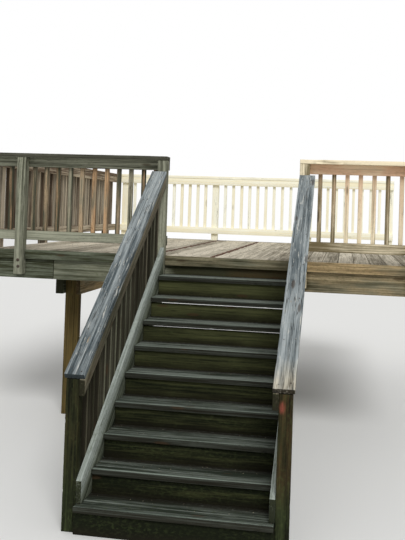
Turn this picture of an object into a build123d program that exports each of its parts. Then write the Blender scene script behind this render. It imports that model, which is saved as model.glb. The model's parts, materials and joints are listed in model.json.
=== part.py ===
from build123d import *
import math
import os

# A flight of wooden deck stairs with its guards, and the raised deck it serves.
# Millimetres. +X is to the right of someone who walks up, +Y is the way they walk, +Z is up.
# The pieces are laid out from the middle of the flight, with Y zero at the face of the deck's
# front edge strip and Z zero on the ground. They are moved at the end so that the origin lies in
# the middle of the ledger's outer face, where the house carries the deck.

# Dressed sizes of the lumber
ply = 38.0            # thickness of every two-by board
stick = 38.0          # side of a baluster
narrow = 89.0         # width of a two-by-four, and the side of a guard post
medium = 140.0        # width of a two-by-six
beam_board = 184.0    # width of a two-by-eight
joist_board = 235.0   # width of a two-by-ten
wide = 286.0          # width of a two-by-twelve, the stringers' size
riser_board = 25.0    # thickness of a riser

# The flight
treads = 9
rise = 166.0
bottom_rise = 186.0
run = 260.0
nosing = 26.0             # of each tread past the riser under it
flight_width = 1219.0     # clear width between the stringers
string_rise = 112.0       # from the nosing line up to the stringer's top edge
riser_gap = 1.0           # play over a riser
slit = 9.0                # daylight over the risers that have dropped
slit_risers = (6, 7)      # counted from the ground
end_play = 1.5            # play at each end of a tread or riser
cleat = 38.0              # side of the cleats under the treads

# The guards of the flight
cap_rise = 812.0          # from the nosing line up to the top of the sloped cap
newel_gap = 3.0           # from the bottom step's front board to the posts behind it
string_setback = 3.0      # of the stringer's front end behind the posts' front faces
cap_reach = 16.0          # of the sloped cap past the posts' front faces
baluster_pitch = 125.0
baluster_lap = 160.0      # that a baluster reaches down over the stringer

# The deck
board_count = 28
board_gap = 4.0
deck_left = 2340.0        # from the middle of the flight to the deck's left edge
deck_depth = 4270.0       # from the edge strip's face to the outer face of the back rim
joist_pitch = 406.0
rim_joint_gap = 2.0       # between the two boards of the front rim
rim_joint_step = 15.0     # from the middle of the beam to that joint
guard_height = 920.0      # to the top of the level caps
foot_gap = 92.0           # from the deck up to the bottom rail
guard_pitch = 120.0
cap_overhang = 6.5        # of the level caps past the posts and rails
post_tail = 236.0         # that a guard post reaches below the deck
wall_gap = 6.0            # from the guards to the wall of the house
front_inset = 314.0       # from the deck's left edge to the middle of the front guard's outer post
left_first = 44.0         # from the stair's guard post to the first baluster on its left
right_first = 95.0        # the same on its right
side_inset = 280.0        # from the deck's front and back edge to the side guard's end posts
side_post_count = 4
back_inset = 159.0        # from the deck's left edge to the back guard's first post
back_post_pitch = 1347.0
back_post_count = 3       # beside the one at the wall

# The beam and the posts under it
beam_inset = 654.0        # from the deck's left edge to the middle of the support posts
beam_reach = 83.0         # of the beam past the faces of its end posts
support_front = 610.0     # from the edge strip's face to the middle of the front support post
support_back = 710.0      # from the back rim to the middle of the back support post

# Sizes that follow from these
deck_z = treads * rise + bottom_rise
slope = rise / run
tilt = math.atan(slope)
half_flight = flight_width / 2
string_out = half_flight + ply
newel_out = string_out + narrow
post_out = half_flight + narrow
tread_depth = run + nosing
tread_back = nosing - (treads - 1) * run
step_face = treads * run - nosing
newel_front = step_face - riser_board - newel_gap
string_front = newel_front - string_setback
cap_front = newel_front + cap_reach
deck_right = board_count * medium + (board_count - 1) * board_gap - deck_left
guard_end = deck_right - wall_gap
rim_front = ply
beam_middle = beam_inset - deck_left
rim_joint = beam_middle - rim_joint_step
support_rows = (support_front, deck_depth - support_back)
rim_z = deck_z - ply
joist_foot = rim_z - joist_board
strip_foot = deck_z - narrow
cap_under = deck_z + guard_height - ply
post_front = rim_front - narrow
rail_back = rim_front + ply
rail_z = cap_under - narrow
foot_z = deck_z + foot_gap
cap_drop = ply / math.cos(tilt)
rail_drop = narrow / math.cos(tilt)
string_foot = wide / math.cos(tilt) - string_rise
string_heel = (string_foot + bottom_rise - deck_z) / slope


def nose_z(y):
    """Height of the nosing line, the line through the front edges of the treads, at y."""
    return deck_z + slope * y


def block(x0, x1, y0, y1, z0, z1):
    """A board or post with square ends, from two of its corners."""
    return Pos(x0, y0, z0) * Box(x1 - x0, y1 - y0, z1 - z0, align=(Align.MIN, Align.MIN, Align.MIN))


def slab(points, x0, x1):
    """A board that lies across X, from its outline of (y, z) points."""
    outline = Plane.YZ.offset(x0) * Polygon(*points, align=None)
    return extrude(outline, amount=x1 - x0, dir=(1, 0, 0))


def side_span(side, inner, outer):
    """The X values of a piece that reaches from inner to outer on one side of the flight."""
    return (inner, outer) if side > 0 else (-outer, -inner)


def tread_z(number):
    """Height of a tread's top. The treads are counted from the ground."""
    return bottom_rise + (number - 1) * rise


def tread_nose(number):
    """Y of a tread's front edge."""
    return (number - treads - 1) * run


def evenly(start, end, pitch):
    """Middles of the sticks that share the space from start to end at about this pitch."""
    gaps = round((end - start) / pitch)
    return [start + (end - start) * i / gaps for i in range(1, gaps)]


def sloped(y0, y1, low, high):
    """Outline of a piece with plumb ends whose edges run low and high over the nosing line."""
    return [(y0, nose_z(y0) + low), (y0, nose_z(y0) + high), (y1, nose_z(y1) + high), (y1, nose_z(y1) + low)]


def stringer(side):
    """A closed stringer: a level cut on the bottom tread and plumb cuts at both ends, the
    upper one against the guard post at the deck."""
    x0, x1 = side_span(side, half_flight, string_out)
    outline = [
        (-string_front, bottom_rise),
        (-string_front, nose_z(-string_front) + string_rise),
        (post_front, nose_z(post_front) + string_rise),
        (post_front, nose_z(post_front) - string_foot),
        (string_heel, bottom_rise),
    ]
    return slab(outline, x0, x1)


def tread(number):
    reach = string_out - end_play if number == 1 else half_flight - end_play
    y0 = tread_nose(number)
    return block(-reach, reach, y0, y0 + tread_depth, tread_z(number) - ply, tread_z(number))


def riser(number):
    """The riser that stands behind this tread, under the nosing of the next one up."""
    front = tread_nose(number) + tread_depth
    drop = slit if number in slit_risers else riser_gap
    top = tread_z(number + 1) - ply - drop
    reach = half_flight - end_play
    return block(-reach, reach, front, front + riser_board, top - medium, top)


def step_front():
    reach = string_out - end_play
    y0 = -step_face
    return block(-reach, reach, y0, y0 + riser_board, 0, bottom_rise - ply)


def step_side(side):
    """The side of the bottom step, which carries its tread and the foot of the stringer."""
    x0, x1 = side_span(side, half_flight, string_out)
    y0 = riser_board - step_face
    outline = [
        (y0, 0),
        (y0, bottom_rise - ply),
        (tread_back, bottom_rise - ply),
        (tread_back, bottom_rise),
        (string_heel, bottom_rise),
        (string_heel, 0),
    ]
    return slab(outline, x0, x1)


def cleats(side):
    """The cleats on the stringer's inner face, one under each tread that it carries."""
    x0, x1 = side_span(side, half_flight - cleat, half_flight)
    pieces = []
    for number in range(2, treads + 1):
        y0 = tread_nose(number) + nosing + riser_board + end_play
        y1 = tread_nose(number) + tread_depth
        z1 = tread_z(number) - ply
        pieces.append(block(x0, x1, y0, y1, z1 - cleat, z1))
    return pieces


def newel(side):
    x0, x1 = side_span(side, string_out, newel_out)
    y0 = -newel_front
    y1 = y0 + narrow
    head = cap_rise - cap_drop
    return slab([(y0, 0), (y0, nose_z(y0) + head), (y1, nose_z(y1) + head), (y1, 0)], x0, x1)


def sloped_cap(side):
    """The cap, square at its low end and plumb where it meets the top post."""
    x0, x1 = side_span(side, half_flight, half_flight + medium)
    top_z = nose_z(-cap_front) + cap_rise
    outline = [
        (-cap_front, top_z),
        (post_front, nose_z(post_front) + cap_rise),
        (post_front, nose_z(post_front) + cap_rise - cap_drop),
        (-cap_front + ply * math.sin(tilt), top_z - ply * math.cos(tilt)),
    ]
    return slab(outline, x0, x1)


def stair_panel(side):
    """The sloped rail with the balusters that it carries, their heads cut to the pitch."""
    head = cap_rise - cap_drop
    x0, x1 = side_span(side, half_flight, string_out)
    panel = slab(sloped(-newel_front, post_front, head - rail_drop, head), x0, x1)
    x0, x1 = side_span(side, string_out, string_out + stick)
    start = -newel_front + narrow - stick / 2
    for y in evenly(start, post_front + stick / 2, baluster_pitch):
        low = string_rise - baluster_lap
        panel += slab(sloped(y - stick / 2, y + stick / 2, low, head), x0, x1)
    return panel


def deck_boards():
    step = medium + board_gap
    lefts = [-deck_left + i * step for i in range(board_count)]
    return [block(x, x + medium, rim_front, deck_depth, rim_z, deck_z) for x in lefts]


def post_span(middle):
    return (middle - narrow / 2, middle + narrow / 2)


def spread(first, last, count):
    """This many places from first to last, evenly apart."""
    return [first + (last - first) * i / (count - 1) for i in range(count)]


side_posts = spread(side_inset, deck_depth - side_inset, side_post_count)
back_posts = [back_inset - deck_left + i * back_post_pitch for i in range(back_post_count)]
left_posts = [post_span(front_inset - deck_left), (-post_out, -half_flight)]
right_posts = [(half_flight, post_out), (guard_end - narrow, guard_end)]
back_spans = [post_span(x) for x in back_posts] + [(guard_end - narrow, guard_end)]
side_spans = [post_span(y) for y in side_posts]


def edge_strips(spans, end, y0):
    """The boards over the ends of the deck boards, cut between the guard posts."""
    strips = []
    start = -deck_left
    for left, right in spans + [(end, end)]:
        if left > start:
            strips.append(block(start, left, y0, y0 + ply, strip_foot, deck_z))
        start = right
    return strips


def guard_posts(spans, y0):
    foot = deck_z - post_tail
    return [block(x0, x1, y0, y0 + narrow, foot, cap_under) for x0, x1 in spans]


def side_guard_posts():
    foot = deck_z - post_tail
    return [block(-deck_left - narrow, -deck_left, y0, y1, foot, cap_under) for y0, y1 in side_spans]


def rails(x0, x1, y0, y1):
    """The upper and the bottom rail of a straight length of guard."""
    return [block(x0, x1, y0, y1, rail_z, cap_under), block(x0, x1, y0, y1, foot_z, foot_z + narrow)]


def stepped(start, end, first, pitch):
    """Middles of the sticks from start towards end at this pitch, the first one set by itself."""
    way = 1 if end > start else -1
    count = int((abs(end - start) - first - stick) / pitch) + 1
    return [start + way * (first + i * pitch) for i in range(count)]


def joined(rail_pair, sticks):
    """A panel: two rails made one with the balusters across them."""
    panel = rail_pair[0] + rail_pair[1]
    for piece in sticks:
        panel += piece
    return panel


def front_panel(x0, x1, middles):
    """A panel of the front guard, its balusters on the deck side of the rails."""
    half = stick / 2
    sticks = [block(x - half, x + half, rail_back, rail_back + stick, foot_z, cap_under) for x in middles]
    return joined(rails(x0, x1, rim_front, rail_back), sticks)


def side_panel():
    """The left side's panel, with its balusters outside the rails and between the posts."""
    sticks = []
    half = stick / 2
    edges = [(rail_back, rail_back)] + side_spans + [(deck_depth - ply, deck_depth - ply)]
    for first, second in zip(edges, edges[1:]):
        for y in evenly(first[1] - half, second[0] + half, guard_pitch):
            sticks.append(block(-deck_left - stick, -deck_left, y - half, y + half, foot_z, cap_under))
    return joined(rails(-deck_left, -deck_left + ply, rail_back, deck_depth - ply), sticks)


def back_panel():
    """The back panel, with its balusters outside the rails and between the posts."""
    sticks = []
    half = stick / 2
    edges = [(-deck_left, -deck_left)] + back_spans
    for first, second in zip(edges, edges[1:]):
        for x in evenly(first[1] - half, second[0] + half, guard_pitch):
            sticks.append(block(x - half, x + half, deck_depth, deck_depth + stick, foot_z, cap_under))
    return joined(rails(-deck_left, guard_end, deck_depth - ply, deck_depth), sticks)


def level_caps():
    """The flat caps, by name. The side cap lies between the front and the back one."""
    edge = -deck_left - narrow - cap_overhang
    front = post_front - cap_overhang
    back = deck_depth + narrow + cap_overhang
    low, high = cap_under, cap_under + ply
    return {
        "guard_cap_front_left": block(edge, -half_flight, front, front + medium, low, high),
        "guard_cap_front_right": block(half_flight, guard_end, front, front + medium, low, high),
        "guard_cap_side": block(edge, edge + medium, front + medium, back - medium, low, high),
        "guard_cap_back": block(edge, guard_end, back - medium, back, low, high),
    }


def front_rim():
    half = rim_joint_gap / 2
    spans = [(-deck_left, rim_joint - half), (rim_joint + half, deck_right)]
    return [block(x0, x1, rim_front, rail_back, joist_foot, rim_z) for x0, x1 in spans]


def joists():
    boards = []
    y = rim_front + joist_pitch
    while y + ply < deck_depth - ply:
        boards.append(block(-deck_left + ply, deck_right - ply, y, y + ply, joist_foot, rim_z))
        y += joist_pitch
    return boards


def beam():
    """Three boards that sandwich the support posts, two of them on the left."""
    half = medium / 2
    lefts = [beam_middle - half - 2 * ply, beam_middle - half - ply, beam_middle + half]
    foot = joist_foot - beam_board
    y0 = support_rows[0] - narrow / 2 - beam_reach
    y1 = support_rows[1] + narrow / 2 + beam_reach
    pieces = [block(x, x + ply, y0, y1, foot, joist_foot) for x in lefts]
    return [pieces[0] + pieces[1], pieces[2]]


def support_posts():
    """The four-by-six posts under the beam."""
    x0, x1 = beam_middle - medium / 2, beam_middle + medium / 2
    return [block(x0, x1, *post_span(y), 0, joist_foot) for y in support_rows]


def all_nodes():
    """Every node's name with its solids."""
    y0, y1 = rail_back, deck_depth - ply
    nodes = {}
    for side, word in ((-1, "left"), (1, "right")):
        nodes[f"stringer_{word}"] = [stringer(side)]
        nodes[f"tread_cleats_{word}"] = cleats(side)
        nodes[f"newel_{word}"] = [newel(side)]
        nodes[f"stair_panel_{word}"] = [stair_panel(side)]
        nodes[f"stair_cap_{word}"] = [sloped_cap(side)]
    for number in range(1, treads + 1):
        nodes[f"tread_{number}"] = [tread(number)]
    nodes["risers"] = [riser(number) for number in range(1, treads)]
    nodes["bottom_step_front"] = [step_front()]
    nodes["bottom_step_sides"] = [step_side(side) for side in (-1, 1)]
    nodes["deck_boards"] = deck_boards()
    nodes["edge_strip_front"] = edge_strips(left_posts + right_posts, deck_right, 0)
    nodes["edge_strip_back"] = edge_strips(back_spans, deck_right, deck_depth)
    nodes["rim_front"] = front_rim()
    nodes["rim_back"] = [block(-deck_left, deck_right, y1, deck_depth, joist_foot, rim_z)]
    nodes["rim_left"] = [block(-deck_left, -deck_left + ply, y0, y1, joist_foot, rim_z)]
    nodes["ledger"] = [block(deck_right - ply, deck_right, y0, y1, joist_foot, rim_z)]
    nodes["joists"] = joists()
    nodes["beam"] = beam()
    nodes["support_posts"] = support_posts()
    nodes["guard_posts_front_left"] = guard_posts(left_posts, post_front)
    nodes["guard_posts_front_right"] = guard_posts(right_posts, post_front)
    nodes["guard_posts_side"] = side_guard_posts()
    nodes["guard_posts_back"] = guard_posts(back_spans, deck_depth)
    middles = stepped(-post_out, ply - deck_left, left_first, guard_pitch)
    nodes["guard_panel_front_left"] = [front_panel(-deck_left, -half_flight, middles)]
    middles = stepped(post_out, guard_end, right_first, guard_pitch)
    nodes["guard_panel_front_right"] = [front_panel(half_flight, guard_end, middles)]
    nodes["guard_panel_side"] = [side_panel()]
    nodes["guard_panel_back"] = [back_panel()]
    for name, cap in level_caps().items():
        nodes[name] = [cap]
    return nodes


def export_all():
    """Moves the origin to the ledger's outer face and writes one file for each node."""
    mount_y = (rail_back + deck_depth - ply) / 2
    mount_z = (joist_foot + rim_z) / 2
    to_mount = Pos(-deck_right, -mount_y, -mount_z)
    os.makedirs("parts", exist_ok=True)
    for name, solids in all_nodes().items():
        export_step(Compound([to_mount * solid for solid in solids]), f"parts/{name}.step")
    print("deck height", deck_z, "origin moved to", deck_right, mount_y, mount_z)


export_all()
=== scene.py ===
import json
import math
import random

import bmesh
import bpy
from mathutils import Matrix, Vector


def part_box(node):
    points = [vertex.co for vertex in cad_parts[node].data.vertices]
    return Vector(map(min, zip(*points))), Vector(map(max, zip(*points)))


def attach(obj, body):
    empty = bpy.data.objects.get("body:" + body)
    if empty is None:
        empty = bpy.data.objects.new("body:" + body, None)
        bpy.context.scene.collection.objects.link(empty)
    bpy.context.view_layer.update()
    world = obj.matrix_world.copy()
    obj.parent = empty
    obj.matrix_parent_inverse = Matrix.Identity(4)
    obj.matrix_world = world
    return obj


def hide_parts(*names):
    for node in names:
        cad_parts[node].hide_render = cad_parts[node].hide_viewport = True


bl_info = {
    "name": "Wooden Deck Stairs",
    "version": (1, 0, 0),
    "blender": (4, 5, 0),
    "location": "View3D > Sidebar > Deck Stairs",
    "description": "Weathered lumber, fasteners and a plain stage for a flight of deck stairs",
    "category": "Object",
}

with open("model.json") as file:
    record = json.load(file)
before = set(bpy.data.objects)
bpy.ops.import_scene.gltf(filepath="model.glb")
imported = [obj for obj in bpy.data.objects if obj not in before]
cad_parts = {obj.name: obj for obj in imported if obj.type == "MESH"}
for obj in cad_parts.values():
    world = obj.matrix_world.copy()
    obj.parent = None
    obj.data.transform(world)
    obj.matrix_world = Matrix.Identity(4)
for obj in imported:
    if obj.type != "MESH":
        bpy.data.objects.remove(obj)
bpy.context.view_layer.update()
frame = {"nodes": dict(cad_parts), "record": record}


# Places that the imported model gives

def span(node):
    """The lowest and highest corner of a CAD node's box."""
    low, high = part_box(node)
    return Vector(low), Vector(high)


ACROSS = Vector((1, 0, 0))
AHEAD = Vector((0, 1, 0))
UP = Vector((0, 0, 1))
SAME = 0.0005  # metres within which two places count as one
TREADS = range(1, 10)
TREAD_LOW, TREAD_HIGH = span("tread_2")
NEXT_LOW, NEXT_HIGH = span("tread_3")
SLOPE = (NEXT_HIGH.z - TREAD_HIGH.z) / (NEXT_LOW.y - TREAD_LOW.y)
TILT = math.atan(SLOPE)
RAKE = Vector((0, math.cos(TILT), math.sin(TILT)))
SQUARE = Vector((0, -math.sin(TILT), math.cos(TILT)))
DECK_FACE = span("edge_strip_front")[0].y
DECK_TOP = span("deck_boards")[1].z
FLIGHT_MIDDLE = (TREAD_LOW.x + TREAD_HIGH.x) / 2
GROUND = span("support_posts")[0].z
SIDES = ("left", "right")
GUARDS = ("front_left", "front_right", "side", "back")


def each(kind, words):
    """Each CAD node of a kind, such as both stringers: its word, its name and its two corners."""
    for word in words:
        node = f"{kind}_{word}"
        yield word, node, *span(node)


def nose_z(y):
    """Height of the line through the front edges of the treads, at y."""
    return DECK_TOP + SLOPE * (y - DECK_FACE)


def corners(node):
    """The different corners of a CAD node, to a tenth of a millimetre."""
    mesh = frame["nodes"][node].data
    return {tuple(round(value, 4) for value in vertex.co) for vertex in mesh.vertices}


def heights_at(node, y):
    """The lowest and highest corner of a CAD node at y."""
    heights = [z for _, place, z in corners(node) if abs(place - y) < SAME]
    return min(heights), max(heights)


def solids(node):
    """The lowest and highest corner of each solid in a CAD node, in order along X, Y and Z."""
    mesh = frame["nodes"][node].data
    keys = [tuple(round(value, 4) for value in vertex.co) for vertex in mesh.vertices]
    groups = []
    for face in mesh.polygons:
        shell = {keys[index] for index in face.vertices}
        touching = [group for group in groups if group & shell]
        groups = [group for group in groups if not group & shell] + [shell.union(*touching)]
    boxes = [(Vector(map(min, *group)), Vector(map(max, *group))) for group in groups]
    return sorted(boxes, key=lambda box: tuple(round(value, 3) for value in box[0]))


def pairs(values):
    """Neighbouring values taken two by two, such as the two edges of each baluster."""
    values = sorted(set(values))
    return list(zip(values[::2], values[1::2]))


# Sizes and colours that a user would change

def colour(name, description, red, green, blue):
    return bpy.props.FloatVectorProperty(
        name=name, description=description, subtype="COLOR_GAMMA", size=3, min=0, max=1,
        default=(red / 255, green / 255, blue / 255))


def length(name, description, default):
    return bpy.props.FloatProperty(
        name=name, description=description, default=default, min=0, unit="LENGTH", subtype="DISTANCE",
        precision=4)


def amount(name, description, default, top=1.0):
    return bpy.props.FloatProperty(name=name, description=description, default=default, min=0, max=top)


def angle(name, description, default):
    return bpy.props.FloatProperty(name=name, description=description, default=default, subtype="ANGLE")


class DeckStairsLumber(bpy.types.PropertyGroup):
    """How the boards are shaped"""
    eased_edge: length("Eased edge", "Radius along the edges of a board", 0.003)
    post_edge: length("Post edge", "Radius along the edges of a post", 0.0039)
    worn_nose: length("Worn nose", "Further rounding of the trodden edges of the treads", 0.0024)
    baluster_edge: length("Baluster edge", "Radius along the edges of a baluster", 0.0022)
    baluster_play: length("Baluster play", "How far a baluster may stand from its place", 0.003)
    waviness: length("Waviness", "How far an old board bows", 0.004)
    raised_grain: length("Raised grain", "Depth of the weathered grain", 0.0014)
    split_depth: length("Split depth", "Depth of the long splits", 0.004)


class DeckStairsFinishes(bpy.types.PropertyGroup):
    """Colours of the weathered wood"""
    step_pale: colour("Tread, pale", "Worn grey wood of the treads", 122, 129, 121)
    step_dark: colour("Tread, dark", "Grain of the treads", 40, 46, 38)
    # The front of each tread's top is lighter: partly bleached by wear, partly a painted highlight.
    step_bleach_and_highlight: colour("Tread, edge", "Bleached front edge of the treads", 146, 158, 147)
    riser_pale: colour("Riser, pale", "Mossy wood of the risers", 84, 86, 54)
    riser_dark: colour("Riser, dark", "Grain of the risers", 18, 22, 10)
    stringer_pale: colour("Stringer, pale", "Greenish grey wood of the stringers", 118, 124, 108)
    stringer_dark: colour("Stringer, dark", "Grain of the stringers", 46, 52, 38)
    # The stringers' upper edge is lighter: partly weathered bleaching, partly a painted highlight.
    stringer_bleach_and_highlight: colour("Stringer, edge", "Bleached upper edge of the stringers", 168, 176, 170)
    cap_pale: colour("Stair cap, pale", "Blue-grey wood of the sloped caps", 160, 167, 168)
    cap_dark: colour("Stair cap, dark", "Grain of the sloped caps", 62, 72, 76)
    cap_worn: colour("Stair cap, worn end", "Bleached fibres at the right cap's low end", 204, 197, 178)
    cap_rot: colour("Stair cap, rotten", "Dark wood between them", 62, 55, 44)
    cap_flake: colour("Raised fibres", "Pale fibres on the sloped caps", 208, 207, 198)
    cap_tan: colour("Bare tan wood", "Wood under the chips", 158, 140, 112)
    rail_pale: colour("Stair guard, pale", "Olive brown wood of the stair guards", 132, 132, 112)
    rail_dark: colour("Stair guard, dark", "Grain of the stair guards", 42, 41, 28)
    rail_warm: colour("Stair guard, warm", "Beige of the sheltered rails", 122, 112, 95)
    # Painted shade: the bottom posts' colours are darkened for the shade they stand in.
    newel_pale: colour("Bottom post, pale", "Wood of the bottom posts", 50, 57, 34)
    newel_dark: colour("Bottom post, dark", "Grain of the bottom posts", 13, 15, 7)
    newel_brown: colour("Bottom post, brown", "Brown wood high on the bottom posts", 66, 52, 31)
    newel_red: colour("Bottom post, red", "Reddish stain on the right bottom post", 140, 72, 60)
    rust: colour("Rust", "Rust on nails and bolts", 84, 56, 38)
    deck_pale: colour("Deck, pale", "Sun-bleached deck boards", 216, 207, 187)
    deck_dark: colour("Deck, dark", "Grain of the deck boards", 122, 114, 97)
    frame_pale: colour("Framing, pale", "Olive wood of the rims and edge strips", 128, 134, 118)
    frame_dark: colour("Framing, dark", "Grain of the rims and edge strips", 54, 56, 40)
    frame_warm: colour("Framing, warm", "Brown-tan boards by the house", 186, 160, 118)
    frame_brown: colour("Framing, brown", "Grain of the brown-tan boards", 78, 60, 36)
    post_pale: colour("Support post, pale", "Brown wood of the support posts", 98, 82, 47)
    post_dark: colour("Support post, dark", "Grain of the support posts", 34, 31, 18)
    left_pale: colour("Left guard, pale", "Grey-olive wood of the left front guard", 156, 157, 138)
    left_dark: colour("Left guard, dark", "Grain of the left front guard", 70, 71, 58)
    left_warm: colour("Left guard, warm", "Tan balusters of the left front guard", 196, 158, 120)
    side_pale: colour("Side guard, pale", "Pinkish tan wood of the side guard", 200, 188, 166)
    side_dark: colour("Side guard, dark", "Grain of the side guard", 106, 90, 74)
    # Painted light: the back guard's colours are raised to near white for the sun that falls on it.
    back_pale: colour("Back guard, pale", "Cream wood of the back guard", 255, 255, 240)
    back_dark: colour("Back guard, dark", "Grain of the back guard", 249, 240, 208)
    right_pale: colour("Right guard, pale", "Tan wood of the right front guard", 246, 232, 200)
    right_dark: colour("Right guard, dark", "Grain of the right front guard", 116, 104, 76)
    right_warm: colour("Right guard, warm", "Brown heads of the balusters", 216, 172, 140)
    # This colour is also painted shade: the darkened faces of balusters, rails and tread fronts, and part of
    # the dark band where treads meet risers.
    dirt_and_shade: colour("Dirt", "Dirt in corners, cracks and gaps", 30, 27, 19)
    moss: colour("Moss", "Green film on damp wood", 70, 80, 46)
    knot: colour("Knots", "Dark knots", 66, 50, 34)
    litter: colour("Litter", "Reddish brown dirt in two gaps of the deck", 122, 84, 64)
    grit: colour("Grit", "Pale crumbs on the treads", 168, 160, 136)
    zinc: colour("Bolt heads", "Dull metal of the bolts and nails", 78, 76, 70)



class DeckStairsFasteners(bpy.types.PropertyGroup):
    """Nails and bolts"""
    nail_head: length("Nail head", "Diameter of a nail head", 0.0095)
    nail_proud: length("Nail stand", "How far a nail head stands over the wood", 0.0008)
    nail_sink: length("Nail sink", "How deep the nails are driven", 0.0012)
    nail_inset: length("Nail inset", "From a board's edge to its nails", 0.028)
    nail_pitch: length("Nail pitch", "From one pair of nails to the next along a rim board", 0.406)
    bolt_head: length("Bolt head", "Diameter of a round bolt head", 0.019)
    bolt_sink: length("Bolt sink", "How far a washer is pressed into the wood", 0.0022)
    bolt_washer: length("Washer", "Diameter of the washer under a bolt", 0.030)
    upper_bolt: length("Upper bolt", "From the deck down to a post's upper bolt", 0.097)
    lower_bolt: length("Lower bolt", "From the deck down to a post's lower bolt", 0.157)


class DeckStairsStage(bpy.types.PropertyGroup):
    """Floor, light and camera"""
    floor_tone: colour("Floor", "Colour of the floor", 232, 232, 230)
    floor_size: length("Floor size", "Side of the floor", 90.0)
    sky_level: amount("Sky level", "Strength of the even light from all round", 0.6, 4)
    key_level: amount("Key level", "Strength of the soft key light", 1.7, 10)
    key_spread: angle("Key spread", "Apparent size of the key light", math.radians(24))
    focal_length: amount("Focal length", "Of the camera, in millimetres", 54.48, 300)
    eye_right: length("Eye, right", "Camera to the right of the flight's middle", 1.0207)
    eye_front: length("Eye, front", "Camera in front of the deck's edge", 7.4135)
    eye_up: length("Eye, up", "Camera over the deck", 0.4442)
    yaw: angle("Yaw", "Turn to the left", 0.1734)
    pitch: angle("Pitch", "Upward tilt", 0.021)
    roll: angle("Roll", "Lean of the camera", -0.034)
    shift: bpy.props.FloatProperty(name="Shift", description="Vertical shift of the lens", default=-0.1449)


# Selecting and shaping

def deselect():
    if bpy.context.object and bpy.context.object.mode != "OBJECT":
        bpy.ops.object.mode_set(mode="OBJECT")
    bpy.ops.object.select_all(action="DESELECT")


def start_edit(kind="VERT"):
    bpy.ops.object.mode_set(mode="EDIT")
    bpy.ops.mesh.select_mode(type=kind)
    bpy.ops.mesh.select_all(action="DESELECT")


def leave_edit():
    bpy.ops.object.mode_set(mode="OBJECT")
    return bpy.context.object


def only(piece):
    deselect()
    piece.select_set(True)
    bpy.context.view_layer.objects.active = piece


def apply_place():
    bpy.ops.object.transform_apply(location=True, rotation=True, scale=True)


def pick(kind, test):
    """Selects the mesh's verts, edges or faces that pass a test."""
    mesh = bmesh.from_edit_mesh(bpy.context.edit_object.data)
    for item in getattr(mesh, kind):
        item.select_set(bool(test(item)))
    bmesh.update_edit_mesh(bpy.context.edit_object.data)


def top_face(face):
    return face.normal.z > 0.9


def runs(direction):
    """A test for edges that run in this direction."""
    shortest, aligned = 0.02, 0.99

    def test(edge):
        way = edge.verts[1].co - edge.verts[0].co
        return way.length > shortest and abs(way.normalized().dot(direction)) > aligned
    return test


def lift(distance):
    bpy.ops.transform.translate(value=(0, 0, distance))


def ease_edges(kind="eased_edge", most=1.0):
    """Rounds all edges of the edited board, by one of the sizes that the user sets."""
    radius = min(getattr(bpy.context.scene.deck_stairs_lumber, kind), most)
    bpy.ops.mesh.select_all(action="SELECT")
    bpy.ops.mesh.bevel(offset=radius, segments=2, profile=0.5, affect="EDGES")


def trim(place, normal, **side):
    """Cuts the edited board off square to normal, and closes the cut."""
    bpy.ops.mesh.select_all(action="SELECT")
    bpy.ops.mesh.bisect(plane_co=place, plane_no=normal, use_fill=True, **side)


def cut_across(direction, cuts):
    """Cuts a board into this many more lengths, so that it can bow."""
    if cuts:
        bpy.ops.mesh.select_mode(type="EDGE")
        pick("edges", runs(direction))
        bpy.ops.mesh.subdivide(number_cuts=cuts)


def note(piece, name, rule):
    """Writes a number on each of a piece's points: the same one, or what a rule says of its place."""
    values = [rule(point.co) if callable(rule) else rule for point in piece.data.vertices]
    piece.data.attributes.new(name, "FLOAT", "POINT").data.foreach_set("value", values)


def mark_grain(piece, along, across, start, dice, tone=None, warm=0.0):
    """Writes the grain's own coordinates on a board: along it from a random place, across it
    from its edge and through it from its face. Its tone says how pale it is, and warm how much
    of the finish's second, warmer colour it takes; each is a number or a rule for a place. The
    sawn ends are marked too."""
    mesh = piece.data
    through = along.cross(across)
    shift = Vector((dice.uniform(2, 60), 0, 0))
    grain = mesh.attributes.new("grain", "FLOAT_VECTOR", "POINT")
    values = []
    for point in mesh.vertices:
        place = point.co - start
        values.extend(Vector((place.dot(along), place.dot(across), place.dot(through))) + shift)
    grain.data.foreach_set("vector", values)
    note(piece, "tone", dice.random() if tone is None else tone)
    note(piece, "warm", warm)
    square_cut = 0.75
    sawn = [0.0] * len(mesh.vertices)
    for face in mesh.polygons:
        if abs(face.normal.dot(along)) > square_cut:
            for index in face.vertices:
                sawn[index] = 1.0
    mesh.attributes.new("end", "FLOAT", "POINT").data.foreach_set("value", sawn)


def hold_inside(piece, low, high):
    """Puts back what relief has pushed past a board's own box."""
    for point in piece.data.vertices:
        for i in range(3):
            point.co[i] = min(max(point.co[i], low[i]), high[i])


def block(low, high):
    """A box primitive at its size and place, in edit mode."""
    deselect()
    low, high = Vector(low), Vector(high)
    bpy.ops.mesh.primitive_cube_add(size=1, location=(low + high) / 2, scale=high - low)
    apply_place()
    start_edit()
    return bpy.context.object


def raked_block(low, high, under, over):
    """A box that follows the flight's pitch from low to high, under and over the nosing line."""
    piece = block((low.x, low.y, nose_z(low.y) + under), (high.x, high.y, nose_z(low.y) + over))
    middle = (low.y + high.y) / 2
    pick("verts", lambda point: point.co.y > middle)
    lift(SLOPE * (high.y - low.y))
    return piece


AXES = {"x": (ACROSS, AHEAD), "y": (AHEAD, ACROSS), "z": (UP, ACROSS),
        "x upright": (ACROSS, UP), "y upright": (AHEAD, UP)}


def plank(low, high, way, dice, cuts=0, tone=None, warm=0.0, edge="eased_edge"):
    """A straight board with eased edges, its grain along X, Y or Z."""
    along, across = AXES[way]
    piece = block(low, high)
    ease_edges(edge, min(high[i] - low[i] for i in range(3)) / 4)
    cut_across(along, cuts)
    leave_edit()
    mark_grain(piece, along, across, Vector(low), dice, tone, warm)
    return piece


def planks(node, way, dice, **look):
    """A board for each solid of a CAD node."""
    return [plank(*box, way, dice, **look) for box in solids(node)]


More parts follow.
